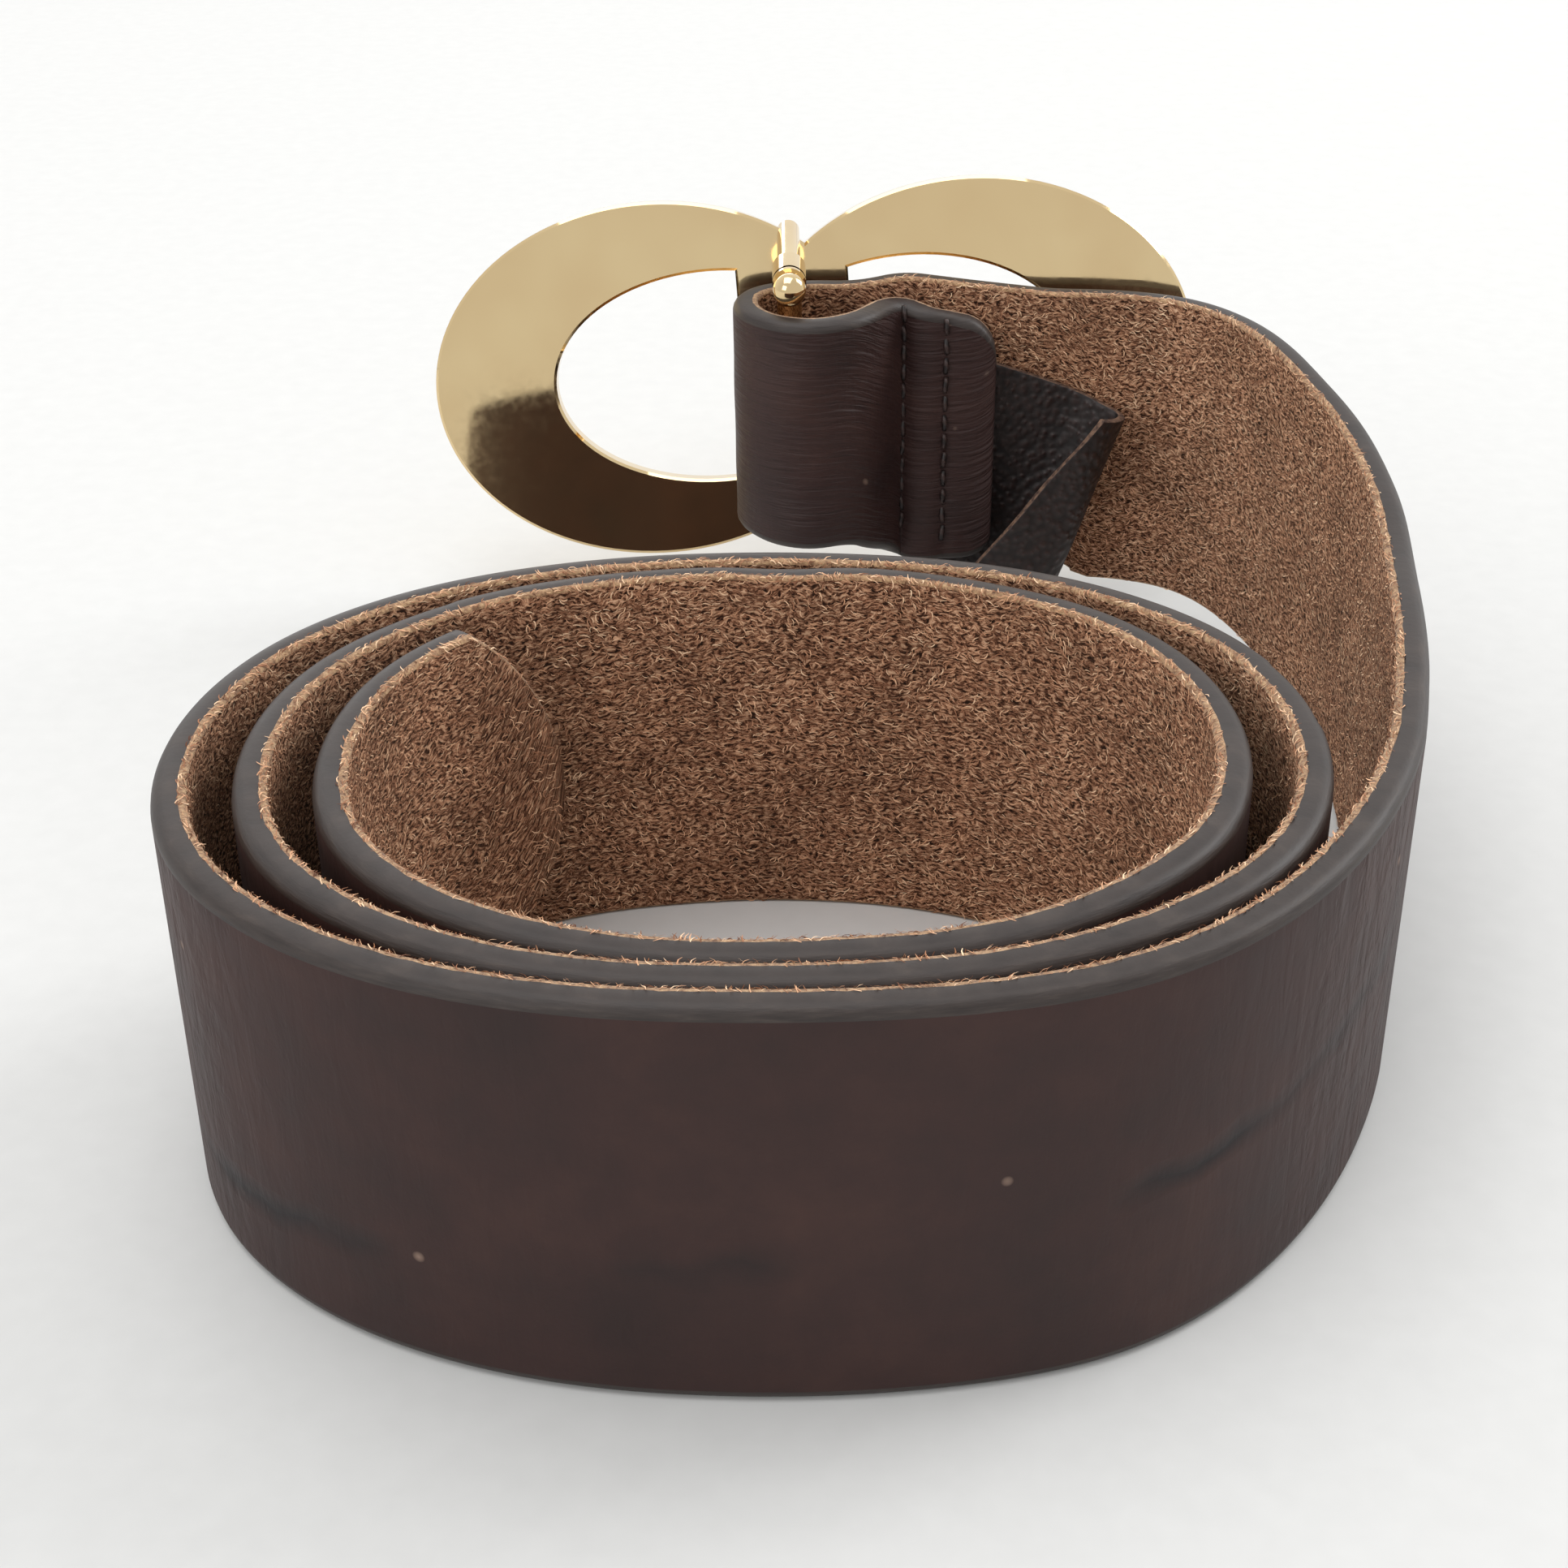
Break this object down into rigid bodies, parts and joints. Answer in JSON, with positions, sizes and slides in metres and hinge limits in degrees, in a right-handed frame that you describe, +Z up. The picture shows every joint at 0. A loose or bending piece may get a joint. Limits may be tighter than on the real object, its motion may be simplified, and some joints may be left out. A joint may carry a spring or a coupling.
{
  "type": "leather belt",
  "caption": "Wide single-ply leather belt rolled up on its edge, with a polished figure-eight metal buckle pivoted on an upright bar in the sewn fold.",
  "frame": {"origin": "centre of the overall box, at the level of the strap's lower edge, which stands on the table", "axes": "+Z up across the width of the strap, +Y from the roll towards the buckle end, +X towards the side where the strap's end leaves the roll"},
  "size_m": [0.1243, 0.1718, 0.0557],
  "materials": {
    "strap_leather": "smooth dark brown grain, suede flesh side, painted edges",
    "tab_leather": "thin pebble-embossed leather",
    "thread": "waxed dark brown thread",
    "buckle_metal": "polished pale gold plating"
  },
  "bodies": {
    "strap_body": {"strap": "strap_leather", "inner_tab": "tab_leather", "fold_stitches": "thread", "flap_stitches": "thread"},
    "buckle_body": {"buckle_frame": "buckle_metal", "upper_post": "buckle_metal", "lower_post": "buckle_metal", "hinge_bar": "buckle_metal"}
  },
  "joints": [
    {"name": "buckle_swing", "type": "hinge", "parent": "strap_body", "child": "buckle_body", "pos_m": [-0.0043, 0.0632, 0.031], "axis": [0, 0, 1], "range_deg": [0, 60]}
  ]
}
